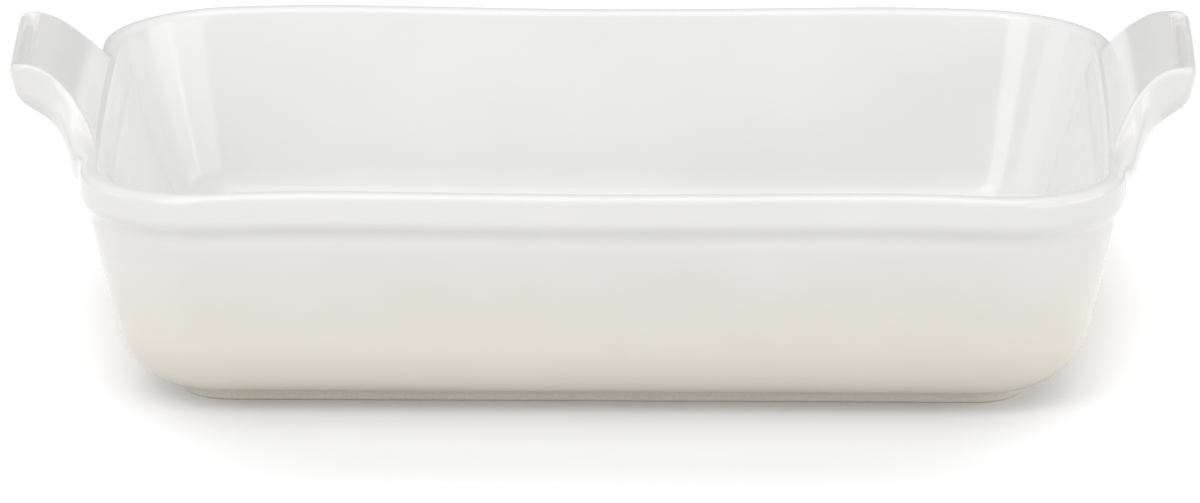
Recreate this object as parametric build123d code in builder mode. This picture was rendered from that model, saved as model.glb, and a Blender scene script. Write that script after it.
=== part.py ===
"""A rectangular stoneware baking dish with two swept-up lug handles.

The clay is a basin with a lug stuck to each end of its rim. Over the clay lies the glaze: one coat
inside, one outside, and one on each lug. It stops above the foot ring, which stays bare clay.

The frame: X runs along the dish through both lugs, Y across it, Z up. The origin is on the table
under the middle of the dish. An inset is a distance inwards from the outer face of the rim, and a
skin is how deep a surface lies under the glazed surface.
"""

import os
from math import cos, radians, sin, tan

from build123d import *

os.makedirs("parts", exist_ok=True)

# Rim, seen from above, in millimetres
rim_length = 330
rim_width = 229
rim_corner_radius = 41
corner_shrink_share = 0.84  # of an inset, which comes off the corner radius there
least_corner_radius = 8

# Walls and floor
dish_height = 77
wall_thickness = 6
floor_thickness = 7
outer_draft = 11.5  # degrees from upright
inner_draft = 16  # more than outside, so that the wall thickens downwards
outer_turn_radius = 25  # where the wall turns into the underside
inner_turn_radius = 24  # where the wall turns into the floor
lip_share = 0.44  # of the wall, for the lip's rounding

# Raised band round the rim
band_height = 11.5
band_step = 1.8
band_edge_share = 0.4  # of the step, for the rounding of the band's lower edge

# Foot ring
foot_height = 3
foot_inset = 31
foot_width = 7
foot_edge_share = 0.15  # of the foot's width, for the rounding of its edges

# Glaze, and the film of slip that bonds it to the clay and the lugs to the basin
glaze_thickness = 0.5
bond_gap = 0.04

# Lugs, measured outwards from the rim's face and upwards or downwards from its crest
lug_reach = 27.5
lug_rise = 19.5
lug_drop = 10
lug_root_width = 104
lug_tip_width = 64
lug_corner_radius = 7
lug_seat_share = 0.4  # of the wall, over which the lug reaches in

# Outline of a lug from the side: the middles and ends of its arcs, as (outwards, upwards) shares of
# the reach and of the rise, or of the drop where they lie below the crest
lug_top_shares = [(0.23, 0.57), (0.76, 1.00)]
lug_tip_shares = [(0.76, 1.00), (1.00, 0.78), (0.87, 0.35)]
lug_under_shares = [(0.87, 0.35), (0.55, 0.06), (0.31, -0.25)]
lug_root_shares = [(0.31, -0.25), (0.18, -0.65), (-0.06, -1.00)]

# Flare of a lug from above, as shares of the reach outwards and of the way from tip to root width
lug_flare_shares = [(-0.12, 1.00), (0.16, 0.30), (0.60, 0.00)]

# Groove across the top of each lug, behind its rolled tip
groove_radius = 1.9
groove_setback = 6  # from the tip
groove_end_wall = 2.2  # left standing past each end

# One overrun for all cuts, and how many steps a rounded turn is lofted in
overrun = 5
turn_steps = 5

# Worked out from the above
band_foot = dish_height - band_height
floor_top = foot_height + floor_thickness
mid_floor = foot_height + floor_thickness / 2
clay_skin = glaze_thickness + bond_gap


def outline(inset, height):
    """The dish's outline from above at an inset, as a face at a height."""
    with BuildSketch(Plane.XY.offset(height)) as sketch:
        RectangleRounded(
            rim_length - 2 * inset,
            rim_width - 2 * inset,
            max(rim_corner_radius - corner_shrink_share * inset, least_corner_radius),
        )
    return sketch.sketch.face()


def bowl(wall_inset, wall_draft, turn_radius, lowest, top, skin):
    """A drafted bowl as a filled solid: a rounded turn from flat underneath, then a straight wall.

    wall_inset is the wall's inset at the height of the band's lower edge, without the skin.
    """
    draft = radians(wall_draft)
    turn_height = lowest + turn_radius
    turn_inset = wall_inset + (band_foot - turn_height) * tan(draft) + turn_radius / cos(draft)
    angles = [(radians(90) - draft) * step / turn_steps for step in range(turn_steps + 1)]
    radius = turn_radius - skin
    turn = [outline(turn_inset - radius * sin(a), turn_height - radius * cos(a)) for a in angles]
    wall_top = outline(wall_inset - (top - band_foot) * tan(draft) + skin / cos(draft), top)
    with BuildPart() as form:
        loft(turn)
        loft([turn[-1], wall_top], ruled=True)
    return form.part


def outer_form(skin):
    """The dish's outer shape as a filled solid, without its foot ring."""
    band_underside = band_foot + skin
    with BuildPart() as form:
        add(bowl(band_step, outer_draft, outer_turn_radius, foot_height, band_foot + band_step, skin))
        extrude(outline(skin, band_underside), amount=dish_height - skin - band_underside)
        ledge = form.faces().filter_by_position(Axis.Z, band_underside, band_underside)[0]
        fillet(ledge.outer_wire().edges(), band_edge_share * (band_step - skin))
        fillet(form.edges().group_by(Axis.Z)[-1], lip_share * wall_thickness - skin)
    return form.part


def hollow_form(skin):
    """The dish's hollow as a solid that runs past the crest. A skin makes it larger."""
    wall_inset = wall_thickness + band_height * tan(radians(inner_draft))
    return bowl(wall_inset, inner_draft, inner_turn_radius, floor_top, dish_height + overrun, -skin)


def basin_form(skin):
    """The hollow dish with its rounded lip, without its foot ring and lugs."""
    with BuildPart() as form:
        add(outer_form(skin))
        add(hollow_form(skin), mode=Mode.SUBTRACT)
        crest = form.faces().sort_by(Axis.Z)[-1]
        fillet(crest.inner_wires()[0].edges(), lip_share * wall_thickness - skin)
    return form.part


def foot_block(inset, height):
    """All that lies inside the foot's outline, from the table up to a height."""
    with BuildPart() as block:
        extrude(outline(inset, 0), amount=height)
    return block.part


def lug_form(skin):
    """The right-hand lug as a solid whose root reaches into the dish's wall."""
    rim_face = rim_length / 2
    inner_face = rim_face - lug_seat_share * wall_thickness
    flare = (lug_root_width - lug_tip_width) / 2

    def side_points(shares):
        return [
            (rim_face + out * lug_reach, dish_height + up * (lug_rise if up > 0 else lug_drop))
            for out, up in shares
        ]

    with BuildPart() as form:
        with BuildSketch(Plane.XZ):
            with BuildLine():
                ThreePointArc((inner_face, dish_height), *side_points(lug_top_shares))
                ThreePointArc(*side_points(lug_tip_shares))
                ThreePointArc(*side_points(lug_under_shares))
                root = ThreePointArc(*side_points(lug_root_shares))
                Polyline(root @ 1, (inner_face, (root @ 1).Y), (inner_face, dish_height))
            make_face()
            offset(amount=-skin)
        extrude(amount=lug_root_width, both=True)
        with BuildSketch(Plane.XY) as plan:
            with BuildLine():
                flank = ThreePointArc(
                    *[
                        (rim_face + out * lug_reach, lug_tip_width / 2 + share * flare)
                        for out, share in lug_flare_shares
                    ]
                )
                tip = rim_face + lug_reach
                Polyline(flank @ 1, (tip, (flank @ 1).Y), (tip, 0), ((flank @ 0).X, 0), flank @ 0)
            make_face()
            mirror(about=Plane.XZ)
            fillet(plan.vertices().group_by(Axis.X)[-1], lug_corner_radius)
            offset(amount=-skin)
        extrude(amount=dish_height + lug_rise + overrun, mode=Mode.INTERSECT)
        with Locations((tip - groove_setback, 0, dish_height + lug_rise)):
            Cylinder(
                groove_radius + skin,
                lug_tip_width - 2 * groove_end_wall + 2 * skin,
                rotation=(90, 0, 0),
                mode=Mode.SUBTRACT,
            )
    return form.part


# Basin, of bare clay
with BuildPart() as stoneware_basin:
    add(basin_form(clay_skin))
    add(foot_block(foot_inset, mid_floor))
    add(foot_block(foot_inset + foot_width, foot_height), mode=Mode.SUBTRACT)
    fillet(stoneware_basin.edges().group_by(Axis.Z)[0], foot_edge_share * foot_width)

# All the glaze on the basin, as one shell
with BuildPart() as basin_glaze:
    add(basin_form(0))
    add(basin_form(glaze_thickness), mode=Mode.SUBTRACT)

# Glaze inside the basin, up to the middle of the lip
with BuildPart() as interior_glaze:
    add(basin_glaze.part)
    add(hollow_form(wall_thickness / 2), mode=Mode.INTERSECT)

# Right lug, of clay, and its glaze
with BuildPart() as right_lug:
    add(lug_form(clay_skin))
    add(outer_form(glaze_thickness), mode=Mode.SUBTRACT)

with BuildPart() as right_lug_glaze:
    add(lug_form(0))
    add(lug_form(glaze_thickness), mode=Mode.SUBTRACT)
    add(outer_form(glaze_thickness), mode=Mode.SUBTRACT)

# Left lug and its glaze, the same the other way round
with BuildPart() as left_lug:
    mirror(right_lug.part, about=Plane.YZ)

with BuildPart() as left_lug_glaze:
    mirror(right_lug_glaze.part, about=Plane.YZ)

# Glaze outside the basin, from the middle of the lip down to the foot ring, open under the lugs
with BuildPart() as exterior_glaze:
    add(basin_glaze.part)
    add(hollow_form(wall_thickness / 2 + bond_gap), mode=Mode.SUBTRACT)
    add(foot_block(foot_inset - bond_gap, mid_floor), mode=Mode.SUBTRACT)
    lug_room = lug_form(-bond_gap)
    add(lug_room, mode=Mode.SUBTRACT)
    mirror(lug_room, about=Plane.YZ, mode=Mode.SUBTRACT)

stoneware_basin.part.label = "stoneware_basin"
interior_glaze.part.label = "interior_glaze"
exterior_glaze.part.label = "exterior_glaze"
right_lug.part.label = "right_lug"
right_lug_glaze.part.label = "right_lug_glaze"
left_lug.part.label = "left_lug"
left_lug_glaze.part.label = "left_lug_glaze"

export_step(stoneware_basin.part, "parts/stoneware_basin.step")
export_step(interior_glaze.part, "parts/interior_glaze.step")
export_step(exterior_glaze.part, "parts/exterior_glaze.step")
export_step(right_lug.part, "parts/right_lug.step")
export_step(right_lug_glaze.part, "parts/right_lug_glaze.step")
export_step(left_lug.part, "parts/left_lug.step")
export_step(left_lug_glaze.part, "parts/left_lug_glaze.step")
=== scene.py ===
import math

import bmesh
import bpy
import numpy as np
from mathutils import Matrix, Vector


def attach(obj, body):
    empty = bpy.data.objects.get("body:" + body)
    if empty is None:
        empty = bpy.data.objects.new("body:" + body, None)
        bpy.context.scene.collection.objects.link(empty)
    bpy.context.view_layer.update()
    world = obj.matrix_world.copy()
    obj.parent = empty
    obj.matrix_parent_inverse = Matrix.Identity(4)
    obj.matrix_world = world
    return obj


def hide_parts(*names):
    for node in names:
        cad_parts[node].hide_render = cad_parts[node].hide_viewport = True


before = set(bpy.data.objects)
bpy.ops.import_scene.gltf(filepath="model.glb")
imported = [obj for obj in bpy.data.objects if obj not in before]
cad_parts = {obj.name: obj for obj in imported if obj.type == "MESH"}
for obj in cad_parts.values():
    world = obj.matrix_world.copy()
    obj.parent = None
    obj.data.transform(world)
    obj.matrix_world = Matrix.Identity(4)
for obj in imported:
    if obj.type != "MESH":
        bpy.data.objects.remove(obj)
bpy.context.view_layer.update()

MM = 0.001

# Dish, in millimetres, with the CAD model's sizes
rim_length = 330
rim_width = 229
rim_corner_radius = 41
corner_shrink_share = 0.84  # of an inset, which comes off the corner radius there
least_corner_radius = 8
dish_height = 77
wall_thickness = 6
floor_thickness = 7
outer_draft = math.radians(11.5)
inner_draft = math.radians(16)
outer_turn_radius = 25
inner_turn_radius = 24
band_height = 11.5
band_step = 1.8
foot_height = 3
foot_inset = 31
foot_width = 7

# Soft forms of the glazed dish, which are plainer in the CAD model
lip_radius = 2.9
band_edge_radius = 6.0
band_edge_share = 0.8  # of the band's step, which the rounding takes up
band_edge_drop = 2.7  # how far the rounding runs on below the band's lower edge
band_root_reach = 6.0  # how far down the wall the hollow under the band ends
band_root_depth = 1.6  # in from the wall's top, to the point that the hollow bends towards
band_root_drop = 2.5  # down from the band's lower edge, to the same point
foot_edge_radius = 1.1
foot_root_radius = 0.9
foot_ceiling_radius = 2.0

# Bow and dip that the dish took in the kiln
long_side_bow = 2.1  # inwards, at the middle of the rim
short_side_bow = 2.7  # outwards, at the middle of the rim
corner_dip = 1.8
middle_dip = 0.85
dip_start_share = 0.55  # of the half length, where the rim starts to dip towards its ends

# Lugs before the bow, measured outwards from the rim's face and upwards from its crest
lug_reach = 24.3
lug_rise = 21.0
lug_tip_half_width = 32.5
lug_root_half_width = 64
lug_corner_radius = 6
lug_spread_start = -4.4  # outwards, where the sides start to draw in
lug_skirt_slope = 1.9  # how much each side widens per millimetre, far below the top
lug_skirt_depth = 8  # below the top, where three quarters of that slope have set in
lug_skirt_start = 1.5  # outwards, where the widening starts to die away
lug_skirt_reach = 5.2  # over which it dies away
lug_top_edge_radius = 1.6
lug_under_edge_radius = 5.5
lug_crease_radius = 1.2  # between the lug's top and the rim
lug_blend_radius = 6.0  # between the lug's other sides and the rim
lug_edge_depth = 8  # below the top, where the larger radii are reached

# Side outline of both lugs, at the tip and underneath
lug_tip_points = [(21.4, 20.9), (23.8, 19.1), (24.3, 15.6), (23.2, 11.6)]
lug_under_points = [
    (20.8, 8.4), (16.2, 5.2), (11.7, 2.6), (7.8, 0.0), (5.2, -3.0), (3.2, -6.0), (1.0, -8.6), (-1.4, -10.0)
]

# What differs from lug to lug, as on any dish made by hand: how far back it sits, its shares of the
# width and of the reach, how much wider each side is at the rim, the length over which that dies
# away, and its side outline on top
lug_forms = {
    "left": {
        "back": 0,
        "width_share": 1,
        "reach_share": 1,
        "spread": 21,
        "spread_reach": 6,
        "top_points": [
            (-5.0, -2.0), (-4.1, 1.2), (-1.3, 6.3), (3.0, 11.8), (8.8, 17.2), (13.0, 19.6), (17.5, 21.0)
        ],
    },
    "right": {
        "back": 4,
        "width_share": 1.05,
        "reach_share": 0.96,
        "spread": 27,
        "spread_reach": 8,
        "top_points": [
            (-5.0, -2.0), (-4.1, 1.8), (-1.3, 7.6), (3.0, 13.4), (8.8, 18.4), (13.0, 20.3), (17.5, 21.0)
        ],
    },
}

# Groove across the top of each lug
groove_radius = 2.4
groove_setback = 5.2  # from the tip
groove_end_wall = 2.4  # left standing past each end
groove_lift = 0.3  # of the groove's axis above the top
groove_edge_radius = 1.0

# How many steps the profiles and the outline are drawn in
lip_steps = 10
band_steps = 4
band_edge_steps = 9
band_root_steps = 8
outer_wall_steps = 14
inner_wall_steps = 16
turn_steps = 26
foot_root_steps = 5
foot_edge_steps = 6
foot_face_steps = 4
underside_steps = 10
floor_steps = 12
long_side_steps = 60
short_side_steps = 34
corner_steps = 36
merge_distance = 0.01

# Lug meshes: the grid and the box that they are cut from, and how they settle on their surface
lug_cell = 0.8
lug_box_low = (-10, -80, -18)  # outwards from the rim's face, across, and upwards from its crest
lug_box_margin = 2  # past the tip and the top
lug_line_steps = 12
outline_cell = 0.25
outline_low = (-30, -60)  # outwards from the rim's face, and upwards from its crest
outline_high = (40, 40)
inset_rounds = 4
settle_rounds = 4
settle_limit = lug_cell / 2
least_steepness = 0.05
probe_distance = 0.05
seam_distance = 0.002  # from the wall, where a lug's skin ends
seam_lift = 0.01  # of that skin over the wall's

# Glaze and clay, with their colours as shares of full white. Heights and depths are in millimetres.
white = (0.86, 0.86, 0.85)
# The outer glaze's warm white: warm in its own tone, and set darker than the inside's white as painted shade
# on the outside
shaded_warm_white = (0.82, 0.815, 0.795)
cream = (0.80, 0.762, 0.68)
# The bare foot's clay colour, set lighter than the clay as painted light against the shade under the dish
lightened_clay = (0.84, 0.80, 0.72)
cream_heights = (14, 68)  # all cream below the first, all white above the second
cream_wander = 7  # how far up and down that change of colour strays
cream_edge_scale = 34.0
cream_edge_detail = 5.0
cream_edge_roughness = 0.6
noise_range = (0.3, 0.7)  # where most of a noise's values lie
cloud_scale = 22.0
cloud_detail = 3.0
cloud_range = (0.35, 0.65)
cloud_share = 0.975  # of the colour, in the darker clouds
cream_cloud_share = 0.965
gloss_scale = 60.0
gloss_detail = 2.0
glaze_roughness = (0.10, 0.15)
glaze_ior = 1.5
wave_scale = 70.0
wave_detail = 1.5
wave_strength = 0.02
wave_height = 0.6
pinhole_scale = 95.0
pinhole_range = (0.02, 0.06)  # from a pinhole's middle to its edge, as shares of a cell
pinhole_strength = 0.25
pinhole_depth = 0.2
grain_scale = 900.0
grain_detail = 4.0
grain_range = (0.3, 0.62)
grain_share = 0.93  # of the colour, in the darker grains
grain_strength = 0.35
grain_height = 0.2
clay_roughness = 0.85

# Camera, fitted to the photograph
camera_azimuth = math.radians(0.67)
camera_elevation = math.radians(16.65)
camera_roll = 0.001
camera_distance = 4.0
camera_far_limit = 50
pixels_per_mm = 3.081
image_width = 1200
sensor_width = 36
aim = Vector((-1.67 * MM, 0, 25.0 * MM))

# Lights and floor, in metres and degrees. An azimuth is from the front, to the right.
world_strength = 0.48
panels = {
    "top": {"azimuth": 0, "elevation": 78, "distance": 1.6, "size": (1.4, 1.4), "radiance": 1.6},
    "left": {"azimuth": -36, "elevation": 32, "distance": 1.9, "size": (0.85, 1.9), "radiance": 2.1},
    "right": {"azimuth": 54, "elevation": 14, "distance": 1.9, "size": (1.5, 0.8), "radiance": 1.4},
    "far_left": {"azimuth": -88, "elevation": 14, "distance": 1.9, "size": (1.1, 0.8), "radiance": 1.1},
    "far_right": {"azimuth": 88, "elevation": 14, "distance": 1.9, "size": (1.1, 0.8), "radiance": 1.9},
}
floor_half_size = 30.0
floor_colour = (0.8, 0.8, 0.8)

# The floor's glow, which grows from one strength to another between two distances from the dish's middle:
# weak near the dish, where it leaves a painted pool of shadow round it, and strong further off.
# A distance is the larger of the two, along and across the dish, with a smooth change.
shadow_pool_glow_strengths = (0.05, 0.5)
shadow_pool_distances = (0.14, 0.25)
shadow_pool_length_factor = 1.3  # by which distances along the dish count for more
shadow_pool_corner_radius = 0.12

rim_face = rim_length / 2
floor_top = foot_height + floor_thickness
band_foot = dish_height - band_height


def arc(centre, radius, start, end, steps):
    """Points of an arc, from one angle to another, in degrees."""
    angles = np.radians(np.linspace(start, end, steps + 1))
    return [(centre[0] + radius * math.cos(a), centre[1] + radius * math.sin(a)) for a in angles]


def run(start, end, steps):
    """Points of a straight run, without its two ends."""
    start = np.array(start, float)
    way = np.array(end, float) - start
    return [tuple(start + way * step / steps) for step in range(1, steps)]


def curve(start, bend, end, steps):
    """Points of a smooth bend between two points, towards a third."""
    start, bend, end = (np.array(p, float) for p in (start, bend, end))
    return [
        tuple((1 - t) ** 2 * start + 2 * t * (1 - t) * bend + t**2 * end)
        for t in np.linspace(0, 1, steps + 1)
    ]


def ease(t):
    """A smooth way from 0 to 1, level at both ends."""
    return t**2 * (3 - 2 * t)


def wall_turn(wall_inset, draft, radius, lowest):
    """Centre of the arc between a drafted wall and what lies flat below it, as (inset, height)."""
    height = lowest + radius
    return wall_inset + (band_foot - height) * math.tan(draft) + radius / math.cos(draft), height


def outer_profile():
    """The outside from the crest to the foot's outer face, as (inset, height)."""
    lip = arc((lip_radius, dish_height - lip_radius), lip_radius, 90, 180, lip_steps)
    edge_turn = math.degrees(math.acos(1 - band_edge_share * band_step / band_edge_radius))
    edge_centre = (band_edge_radius, band_foot - band_edge_drop + band_edge_radius)
    edge = arc(edge_centre, band_edge_radius, 180, 180 + edge_turn, band_edge_steps)
    root_bend = (band_step + band_root_depth, band_foot - band_root_drop)
    root_end = (band_step + band_root_reach * math.tan(outer_draft), band_foot - band_root_reach)
    root = curve(edge[-1], root_bend, root_end, band_root_steps)
    centre = wall_turn(band_step, outer_draft, outer_turn_radius, foot_height)
    turn_end = 180 + math.degrees(math.acos((centre[0] - foot_inset + foot_root_radius) / outer_turn_radius))
    turn = arc(centre, outer_turn_radius, 180 + math.degrees(outer_draft), turn_end, turn_steps)
    face = run(lip[-1], edge[0], band_steps)
    wall = run(root[-1], turn[0], outer_wall_steps)
    return lip + face + edge + root[1:] + wall + turn


def foot_profile(top):
    """The foot ring and the underside within it, from the glaze's end, as (inset, height)."""
    radius = foot_edge_radius
    inner = foot_inset + foot_width
    root = curve(top, (foot_inset, top[1]), (foot_inset, top[1] - foot_root_radius), foot_root_steps)
    outer_edge = arc((foot_inset + radius, radius), radius, 180, 270, foot_edge_steps)
    inner_edge = arc((inner - radius, radius), radius, 270, 360, foot_edge_steps)
    ceiling_centre = (inner + foot_ceiling_radius, foot_height - foot_ceiling_radius)
    ceiling = arc(ceiling_centre, foot_ceiling_radius, 180, 90, foot_edge_steps)
    return root + outer_edge + run(outer_edge[-1], inner_edge[0], foot_face_steps) + inner_edge + ceiling


def inner_profile():
    """The inside from the crest to the floor, as (inset, height)."""
    draft = math.degrees(inner_draft)
    lip_inset = wall_thickness + lip_radius * (math.tan(inner_draft) - 1 / math.cos(inner_draft))
    lip = arc((lip_inset, dish_height - lip_radius), lip_radius, 90, draft, lip_steps)
    wall_inset = wall_thickness + band_height * math.tan(inner_draft)
    centre = wall_turn(wall_inset, inner_draft, inner_turn_radius, floor_top)
    turn = arc(centre, inner_turn_radius, 180 + draft, 270, turn_steps)
    return [(lip_radius, dish_height)] + lip + run(lip[-1], turn[0], inner_wall_steps) + turn


def outline(inset):
    """The dish's outline from above at an inset, with the same number of points at every inset."""
    half_x = rim_length / 2 - inset
    half_y = rim_width / 2 - inset
    radius = max(rim_corner_radius - corner_shrink_share * inset, least_corner_radius)
    corners = [(1, 1, 0), (-1, 1, 90), (-1, -1, 180), (1, -1, 270)]
    turns = [
        np.array((x_side * (half_x - radius), y_side * (half_y - radius)))
        + np.array(arc((0, 0), radius, start, start + 90, corner_steps))
        for x_side, y_side, start in corners
    ]
    points = []
    for number, turn in enumerate(turns):
        following = turns[(number + 1) % len(turns)]
        steps = (long_side_steps, short_side_steps)[number % 2]
        points += [turn, run(turn[-1], following[0], steps)]
    return np.concatenate(points)


def inset_at(x, y):
    """The inset of the outline that passes through a point near the right end of the rim."""
    inset = rim_face - x
    for _ in range(inset_rounds):
        radius = rim_corner_radius - corner_shrink_share * inset
        corner_x = rim_face - inset - radius
        corner_y = rim_width / 2 - inset - radius
        away = np.hypot(x - corner_x, np.maximum(np.abs(y) - corner_y, 0))
        inset = inset + (radius - away) / corner_shrink_share
    return inset


def warp(points):
    """The points, bowed and dipped as the kiln did it."""
    out = points.copy()
    height_share = np.clip(points[:, 2] / dish_height, 0, 1)
    x_share = np.clip(points[:, 0] / rim_face, -1, 1)
    y_share = points[:, 1] / (rim_width / 2)
    out[:, 0] += x_share * short_side_bow * height_share * (1 - y_share**2)
    out[:, 1] -= y_share * long_side_bow * height_share * (1 - x_share**2)
    past_start = np.clip((np.abs(x_share) - dip_start_share) / (1 - dip_start_share), 0, 1)
    before_start = np.clip(np.abs(x_share) / dip_start_share, 0, 1)
    dip = corner_dip * ease(past_start) + middle_dip * (1 - before_start**2) ** 2
    out[:, 2] -= dip * height_share
    return out


def warp_normals(points, normals):
    """Normals after the warp, by its local stretch."""
    here = warp(points)
    columns = [(warp(points + shift) - here) / probe_distance for shift in probe_distance * np.eye(3)]
    stretch = np.stack(columns, -1)
    out = np.einsum("nij,nj->ni", np.linalg.inv(stretch).transpose(0, 2, 1), normals)
    return out / np.linalg.norm(out, axis=1)[:, None]


def mesh_object(name, points, faces, normals=None):
    """A smooth mesh of points in millimetres, with its own normals if they are given."""
    mesh = bpy.data.meshes.new(name)
    mesh.from_pydata([tuple(p) for p in points * MM], [], faces)
    mesh.polygons.foreach_set("use_smooth", [True] * len(mesh.polygons))
    mesh.update()
    if normals is not None:
        mesh.normals_split_custom_set_from_vertices([tuple(n) for n in normals])
    thing = bpy.data.objects.new(name, mesh)
    bpy.context.scene.collection.objects.link(thing)
    return thing


def ring_mesh(name, profile, flip, middle_steps=0):
    """A skin swept round the dish's outline, and closed over the middle if it has steps for that."""
    rows = []
    for inset, height in profile:
        ring = outline(inset)
        rows.append(np.column_stack([ring, np.full(len(ring), height)]))
    last = rows[-1]
    count = len(last)
    spine = (rim_length - rim_width) / 2
    centre_line = np.column_stack([np.clip(last[:, 0], -spine, spine), np.zeros(count), last[:, 2]])
    for step in range(1, middle_steps + 1):
        rows.append(last + (centre_line - last) * step / middle_steps)
    faces = []
    for start in range(0, count * (len(rows) - 1), count):
        for here in range(count):
            following = (here + 1) % count
            quad = (start + here, start + following, start + count + following, start + count + here)
            faces.append(quad[::-1] if flip else quad)
    thing = mesh_object(name, warp(np.concatenate(rows)), faces)
    if middle_steps:
        mesh = bmesh.new()
        mesh.from_mesh(thing.data)
        bmesh.ops.remove_doubles(mesh, verts=mesh.verts, dist=merge_distance * MM)
        mesh.to_mesh(thing.data)
        mesh.free()
    return thing


def smooth_line(points):
    """A smooth line through points."""
    p = np.array([points[0], *points, points[-1]], float)
    line = []
    for a, b, c, d in zip(p, p[1:], p[2:], p[3:]):
        for t in np.arange(lug_line_steps) / lug_line_steps:
            square = 2 * a - 5 * b + 4 * c - d
            cube = 3 * b - a - 3 * c + d
            line.append(tuple((2 * b + (c - a) * t + square * t**2 + cube * t**3) / 2))
    return line + [tuple(p[-1])]


def polygon_distance(grid, polygon):
    """Signed distance from a flat grid's points to a closed polygon, negative inside."""
    p = grid.reshape(-1, 2)
    polygon = np.array(polygon, float)
    nearest = np.full(len(p), np.inf)
    inside = np.zeros(len(p), bool)
    for a, b in zip(polygon, np.roll(polygon, -1, axis=0)):
        side = b - a
        if not side.any():
            continue
        t = np.clip(((p - a) @ side) / (side @ side), 0, 1)
        nearest = np.minimum(nearest, np.hypot(*(p - a - t[:, None] * side).T))
        if side[1]:
            crosses = (a[1] > p[:, 1]) != (b[1] > p[:, 1])
            inside ^= crosses & (p[:, 0] < a[0] + (p[:, 1] - a[1]) / side[1] * side[0])
    return np.where(inside, -nearest, nearest).reshape(grid.shape[:-1])


class OutlineDistance:
    """The distance to an outline near the rim, kept on a fine flat grid and read between its points."""

    def __init__(self, polygon):
        corner = np.array((rim_face, dish_height))
        self.low = corner + outline_low
        high = corner + outline_high
        axes = [np.arange(a, b + outline_cell, outline_cell) for a, b in zip(self.low, high)]
        self.values = polygon_distance(np.stack(np.meshgrid(*axes, indexing="ij"), -1), polygon)

    def __call__(self, a, b):
        u = (a - self.low[0]) / outline_cell
        v = (b - self.low[1]) / outline_cell
        i = np.clip(u.astype(int), 0, self.values.shape[0] - 2)
        j = np.clip(v.astype(int), 0, self.values.shape[1] - 2)
        u = u - i
        v = v - j
        near = self.values[i, j] * (1 - v) + self.values[i, j + 1] * v
        far = self.values[i + 1, j] * (1 - v) + self.values[i + 1, j + 1] * v
        return near * (1 - u) + far * u


def round_max(a, b, radius):
    """The larger of two distances, rounded where they meet: what two solids share."""
    return np.minimum(np.maximum(a, b), -radius) + np.hypot(
        np.maximum(a + radius, 0), np.maximum(b + radius, 0)
    )


def round_min(a, b, radius):
    """The smaller of two distances, rounded where they meet: two solids joined."""
    return -round_max(-a, -b, radius)


def lug_field(form):
    """Two functions of points: the distance to a lug and its wall together, and to the wall alone."""
    wall_line = outer_profile()[::-1] + inner_profile()
    wall_side = OutlineDistance([(rim_face - inset, height) for inset, height in wall_line])
    top = smooth_line(form["top_points"] + lug_tip_points[:1])
    side = smooth_line(form["top_points"] + lug_tip_points + lug_under_points)
    side.append((form["top_points"][0][0], lug_under_points[-1][1]))
    lug_side = OutlineDistance([(rim_face + out, dish_height + up) for out, up in side])
    top_out, top_up = np.array(top).T
    groove_out = lug_reach - groove_setback
    groove_up = lug_rise + groove_lift
    groove_half_length = lug_tip_half_width - groove_end_wall - groove_radius

    def flank_distance(out, across, depth):
        spread = form["spread"] * np.exp(-np.maximum(out - lug_spread_start, 0) / form["spread_reach"])
        skirt = lug_skirt_slope * np.exp(-(np.maximum(out - lug_skirt_start, 0) / lug_skirt_reach) ** 2)
        below = depth + lug_skirt_depth
        half_width = lug_tip_half_width + spread + skirt * depth**2 / below
        half_width = round_min(half_width, lug_root_half_width, lug_blend_radius)
        slant = skirt * (1 - (lug_skirt_depth / below) ** 2)
        return (across - half_width) / np.sqrt(1 + (spread / form["spread_reach"]) ** 2 + slant**2)

    def wall_distance(p):
        return wall_side(rim_face - inset_at(p[:, 0], p[:, 1]), p[:, 2])

    def distance(p):
        out = p[:, 0] - rim_face
        out = np.where(out > 0, out / form["reach_share"], out)
        across = np.abs(p[:, 1] - form["back"]) / form["width_share"]
        up = p[:, 2] - dish_height
        depth = np.maximum(np.interp(out, top_out, top_up) - up, 0)
        soft_share = ease(np.clip(depth / lug_edge_depth, 0, 1))
        edge_radius = lug_top_edge_radius + (lug_under_edge_radius - lug_top_edge_radius) * soft_share
        blend_radius = lug_crease_radius + (lug_blend_radius - lug_crease_radius) * soft_share
        flank = round_max(flank_distance(out, across, depth), out - lug_reach, lug_corner_radius)
        lug = round_max(lug_side(rim_face + out, p[:, 2]), flank, edge_radius)
        past_end = np.maximum(across - groove_half_length, 0)
        groove = np.sqrt((out - groove_out) ** 2 + (up - groove_up) ** 2 + past_end**2) - groove_radius
        lug = round_max(lug, -groove, groove_edge_radius)
        return round_min(lug, wall_distance(p), blend_radius)

    return distance, wall_distance


def gradient(field, p):
    """How a field changes along each axis, at points."""
    shifts = probe_distance * np.eye(3)
    return np.stack([(field(p + s) - field(p - s)) / (2 * probe_distance) for s in shifts], -1)


def edge_ends(axis):
    """Two indexes of a grid, for the near and the far ends of all its edges along an axis."""
    near = [slice(None)] * 3
    far = [slice(None)] * 3
    near[axis] = slice(0, -1)
    far[axis] = slice(1, None)
    return tuple(near), tuple(far)


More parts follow.
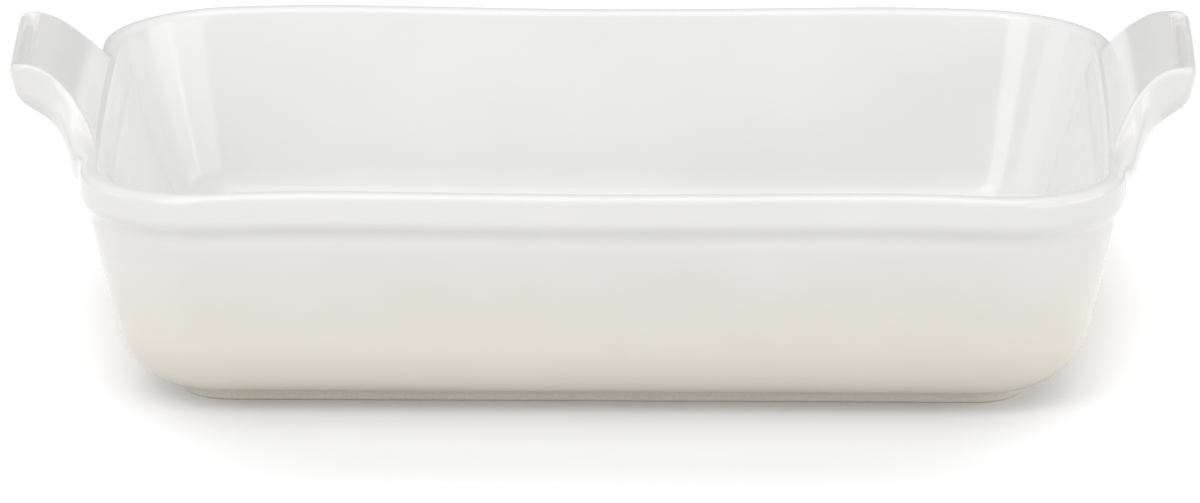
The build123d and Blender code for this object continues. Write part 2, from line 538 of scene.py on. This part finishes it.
def surface_net(field, low, high):
    """Points and quads of a field's zero surface: a point in each grid cell that it passes through."""
    axes = [np.arange(a, b + lug_cell, lug_cell) for a, b in zip(low, high)]
    grid = np.stack(np.meshgrid(*axes, indexing="ij"), -1)
    shape = np.array(grid.shape[:3])
    values = field(grid.reshape(-1, 3)).reshape(shape)
    inside = values < 0
    total = np.zeros((*(shape - 1), 3))
    count = np.zeros(shape - 1)
    for axis in range(3):
        near, far = edge_ends(axis)
        cut = inside[near] != inside[far]
        share = np.where(cut, values[near] / np.where(cut, values[near] - values[far], 1), 0)
        crossing = grid[near] + (grid[far] - grid[near]) * share[..., None]
        others = [k for k in range(3) if k != axis]
        for starts in ((0, 0), (0, 1), (1, 0), (1, 1)):
            beside = [slice(None)] * 3
            for other, start in zip(others, starts):
                beside[other] = slice(start, start + shape[other] - 1)
            total += np.where(cut[tuple(beside)][..., None], crossing[tuple(beside)], 0)
            count += cut[tuple(beside)]
    active = count > 0
    index = np.full(active.shape, -1)
    index[active] = np.arange(active.sum())
    points = total[active] / count[active][:, None]
    faces = []
    for axis in range(3):
        near, far = edge_ends(axis)
        cut = np.argwhere(inside[near] != inside[far])
        others = [k for k in range(3) if k != axis]
        cut = cut[((cut[:, others] > 0) & (cut[:, others] < shape[others] - 1)).all(1)]
        u, v = np.eye(3, dtype=int)[others]
        quads = np.stack([index[tuple(c.T)] for c in (cut - u - v, cut - v, cut, cut - u)], -1)
        turned = inside[near][tuple(cut.T)] == (axis == 1)
        quads[turned] = quads[turned][:, ::-1]
        faces.append(quads)
    return points, np.concatenate(faces)


def settle(points, field):
    """The points, brought onto the field's zero surface."""
    for _ in range(settle_rounds):
        slope = gradient(field, points)
        steepness = np.maximum((slope**2).sum(1), least_steepness)
        step = -(field(points) / steepness)[:, None] * slope
        length = np.linalg.norm(step, axis=1)
        points = points + step / np.maximum(length / settle_limit, 1)[:, None]
    return points


def lug_skin(form):
    """Points, quads and normals of a lug's glazed skin, before the warp."""
    field, wall_distance = lug_field(form)
    corner = np.array((rim_face, 0, dish_height))
    low = corner + lug_box_low
    high = corner + (lug_reach + lug_box_margin, -lug_box_low[1], lug_rise + lug_box_margin)
    points, faces = surface_net(field, low, high)
    points = settle(points, field)
    raised = wall_distance(points) > seam_distance
    faces = faces[raised[faces].any(1)]
    used, faces = np.unique(faces, return_inverse=True)
    points = points[used]
    normals = gradient(field, points)
    normals /= np.linalg.norm(normals, axis=1)[:, None]
    return points + normals * seam_lift, faces.reshape(-1, 4), normals


def lug_object(name, side):
    """A lug's skin as an object, at the right end or, with a side of -1, mirrored to the left."""
    points, faces, normals = lug_skin(lug_forms[name])
    points = points * (side, 1, 1)
    normals = warp_normals(points, normals * (side, 1, 1))
    quads = faces if side > 0 else faces[:, ::-1]
    return mesh_object(name + "_lug_skin", warp(points), quads.tolist(), normals)


def add_node(tree, kind, inputs):
    """A shader node. An input is linked where it is another node's output, and otherwise set."""
    node = tree.nodes.new("ShaderNode" + kind)
    for key, value in inputs.items():
        if isinstance(value, bpy.types.NodeSocket):
            tree.links.new(value, node.inputs[key])
        else:
            node.inputs[key].default_value = value
    return node


def noise(tree, place, scale, detail, roughness=0.5):
    inputs = {"Vector": place, "Scale": scale, "Detail": detail, "Roughness": roughness}
    return add_node(tree, "TexNoise", inputs).outputs["Fac"]


def remap(tree, value, start, end):
    """A value, brought from one range to another."""
    keys = ("From Min", "From Max", "To Min", "To Max")
    return add_node(tree, "MapRange", {"Value": value, **dict(zip(keys, start + end))})


def mix(tree, factor, one, two):
    """A mix of two colours, each an output or a plain colour."""
    node = tree.nodes.new("ShaderNodeMix")
    node.data_type = "RGBA"
    tree.links.new(factor, node.inputs["Factor"])
    for key, value in (("A", one), ("B", two)):
        socket = [s for s in node.inputs if s.name == key and s.type == "RGBA"][0]
        if isinstance(value, tuple):
            socket.default_value = (*value, 1)
        else:
            tree.links.new(value, socket)
    return [s for s in node.outputs if s.type == "RGBA"][0]


def darker(colour, share):
    return tuple(channel * share for channel in colour)


def new_material(name):
    """A material with its node tree, its shader and the output with places on the object."""
    material = bpy.data.materials.new(name)
    material.use_nodes = True
    tree = material.node_tree
    place = tree.nodes.new("ShaderNodeTexCoord").outputs["Object"]
    return material, tree, tree.nodes["Principled BSDF"], place


def glaze(name, top, low=None):
    """A glossy glaze: soft clouds of tone, faint waves, and a few pinholes. low is its lower colour."""
    material, tree, shader, place = new_material(name)
    clouds = noise(tree, place, cloud_scale, cloud_detail)
    tone = remap(tree, clouds, cloud_range, (0.0, 1.0)).outputs["Result"]
    colour = mix(tree, tone, top, darker(top, cloud_share))
    if low:
        stray = noise(tree, place, cream_edge_scale, cream_edge_detail, cream_edge_roughness)
        wander = remap(tree, stray, noise_range, (-cream_wander * MM, cream_wander * MM))
        height = add_node(tree, "SeparateXYZ", {"Vector": place}).outputs["Z"]
        strayed = add_node(tree, "Math", {0: height, 1: wander.outputs["Result"]})
        strayed.operation = "ADD"
        heights = tuple(h * MM for h in cream_heights)
        share = remap(tree, strayed.outputs["Value"], heights, (0.0, 1.0))
        share.interpolation_type = "SMOOTHSTEP"
        low_colour = mix(tree, tone, low, darker(low, cream_cloud_share))
        colour = mix(tree, share.outputs["Result"], low_colour, colour)
    tree.links.new(colour, shader.inputs["Base Color"])
    gloss = noise(tree, place, gloss_scale, gloss_detail)
    roughness = remap(tree, gloss, noise_range, glaze_roughness)
    tree.links.new(roughness.outputs["Result"], shader.inputs["Roughness"])
    waves = add_node(tree, "Bump", {
        "Strength": wave_strength,
        "Distance": wave_height * MM,
        "Height": noise(tree, place, wave_scale, wave_detail),
    })
    cells = add_node(tree, "TexVoronoi", {"Vector": place, "Scale": pinhole_scale})
    pinholes = add_node(tree, "Bump", {
        "Strength": pinhole_strength,
        "Distance": pinhole_depth * MM,
        "Height": remap(tree, cells.outputs["Distance"], pinhole_range, (0.0, 1.0)).outputs["Result"],
        "Normal": waves.outputs["Normal"],
    })
    tree.links.new(pinholes.outputs["Normal"], shader.inputs["Normal"])
    shader.inputs["IOR"].default_value = glaze_ior
    return material


def clay(name, colour):
    """Bare fired clay: matte, with fine grog."""
    material, tree, shader, place = new_material(name)
    grain = noise(tree, place, grain_scale, grain_detail)
    ramp = add_node(tree, "ValToRGB", {"Fac": grain})
    colours = (darker(colour, grain_share), colour)
    for element, position, shade in zip(ramp.color_ramp.elements, grain_range, colours):
        element.position = position
        element.color = (*shade, 1)
    tree.links.new(ramp.outputs["Color"], shader.inputs["Base Color"])
    inputs = {"Strength": grain_strength, "Distance": grain_height * MM, "Height": grain}
    tree.links.new(add_node(tree, "Bump", inputs).outputs["Normal"], shader.inputs["Normal"])
    shader.inputs["Roughness"].default_value = clay_roughness
    return material


def look_from(thing, azimuth, elevation, distance):
    """Puts a thing at a distance from the aim, and returns how it has to turn to face the aim."""
    back = Vector((
        math.sin(azimuth) * math.cos(elevation),
        -math.cos(azimuth) * math.cos(elevation),
        math.sin(elevation),
    ))
    thing.location = aim + back * distance
    return (-back).to_track_quat("-Z", "Y").to_matrix()


def add_camera():
    data = bpy.data.cameras.new("camera")
    data.sensor_fit = "HORIZONTAL"
    data.sensor_width = sensor_width
    data.lens = pixels_per_mm / MM * camera_distance * sensor_width / image_width
    data.clip_end = camera_far_limit
    camera = bpy.data.objects.new("camera", data)
    bpy.context.scene.collection.objects.link(camera)
    turn = look_from(camera, camera_azimuth, camera_elevation, camera_distance)
    camera.rotation_euler = (turn @ Matrix.Rotation(camera_roll, 3, "Z")).to_euler()
    bpy.context.scene.camera = camera


def add_panel(name, azimuth, elevation, distance, size, radiance):
    """A soft light that faces the dish."""
    data = bpy.data.lights.new(name, "AREA")
    data.shape = "RECTANGLE"
    data.size, data.size_y = size
    data.energy = math.pi * radiance * size[0] * size[1]
    light = bpy.data.objects.new(name, data)
    bpy.context.scene.collection.objects.link(light)
    turn = look_from(light, math.radians(azimuth), math.radians(elevation), distance)
    light.rotation_euler = turn.to_euler()


def add_floor():
    """A pale floor. To the camera, and to glossy and clear surfaces, it glows: weakly near the dish, as a
    painted pool of shadow round it, and to white further off.
    """
    mesh = bpy.data.meshes.new("floor")
    corners = [(-1, -1, 0), (1, -1, 0), (1, 1, 0), (-1, 1, 0)]
    mesh.from_pydata([Vector(c) * floor_half_size for c in corners], [], [(0, 1, 2, 3)])
    floor = bpy.data.objects.new("floor", mesh)
    bpy.context.scene.collection.objects.link(floor)
    material, tree, shader, place = new_material("floor")
    tree.nodes.remove(shader)
    diffuse = add_node(tree, "BsdfDiffuse", {"Color": (*floor_colour, 1)}).outputs[0]
    scaled = add_node(tree, "Mapping", {"Vector": place, "Scale": (shadow_pool_length_factor, 1, 1)})
    either_way = add_node(tree, "VectorMath", {0: scaled.outputs["Vector"]})
    either_way.operation = "ABSOLUTE"
    parts = add_node(tree, "SeparateXYZ", {"Vector": either_way.outputs["Vector"]}).outputs
    away = add_node(tree, "Math", {0: parts["X"], 1: parts["Y"], 2: shadow_pool_corner_radius})
    away.operation = "SMOOTH_MAX"
    # Painted shadow: the glow is weak near the dish and grows further off, which shades the floor round it
    strength = remap(tree, away.outputs["Value"], shadow_pool_distances, shadow_pool_glow_strengths)
    strength.interpolation_type = "SMOOTHSTEP"
    glow = add_node(tree, "Emission", {"Strength": strength.outputs["Result"]}).outputs[0]
    glowing = add_node(tree, "AddShader", {0: diffuse, 1: glow}).outputs[0]
    path = tree.nodes.new("ShaderNodeLightPath")
    shown = path.outputs["Is Camera Ray"]
    for ray in ("Is Glossy Ray", "Is Transmission Ray"):
        either = add_node(tree, "Math", {0: shown, 1: path.outputs[ray]})
        either.operation = "MAXIMUM"
        shown = either.outputs["Value"]
    seen = add_node(tree, "MixShader", {"Fac": shown, 1: diffuse, 2: glowing}).outputs[0]
    tree.links.new(seen, tree.nodes["Material Output"].inputs["Surface"])
    mesh.materials.append(material)


def add_world():
    world = bpy.data.worlds.new("world")
    bpy.context.scene.world = world
    world.use_nodes = True
    background = world.node_tree.nodes["Background"]
    background.inputs["Color"].default_value = (1, 1, 1, 1)
    background.inputs["Strength"].default_value = world_strength


add_camera()
add_world()
add_floor()
for name, panel in panels.items():
    add_panel(name, **panel)

white_glaze = glaze("white_glaze", white)
cream_glaze = glaze("cream_glaze", shaded_warm_white, cream)
foot_clay = clay("foot_clay", lightened_clay)

outside = ring_mesh("outside_glaze", outer_profile(), True)
inside = ring_mesh("inside_glaze", inner_profile(), False, floor_steps)
foot = ring_mesh("bare_foot", foot_profile(outer_profile()[-1]), True, underside_steps)
pieces = [
    (outside, cream_glaze, "cream_glaze", ["exterior_glaze"]),
    (inside, white_glaze, "white_glaze", ["interior_glaze"]),
    (foot, foot_clay, "stoneware", ["stoneware_basin"]),
]
for name, side in (("right", 1), ("left", -1)):
    nodes = [name + "_lug_glaze", name + "_lug"]
    pieces.append((lug_object(name, side), cream_glaze, "lug_glaze", nodes))
for thing, material, slot, nodes in pieces:
    thing.data.materials.append(material)
    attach(thing, "root")
    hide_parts(*nodes)

bpy.context.scene.view_settings.view_transform = "Standard"
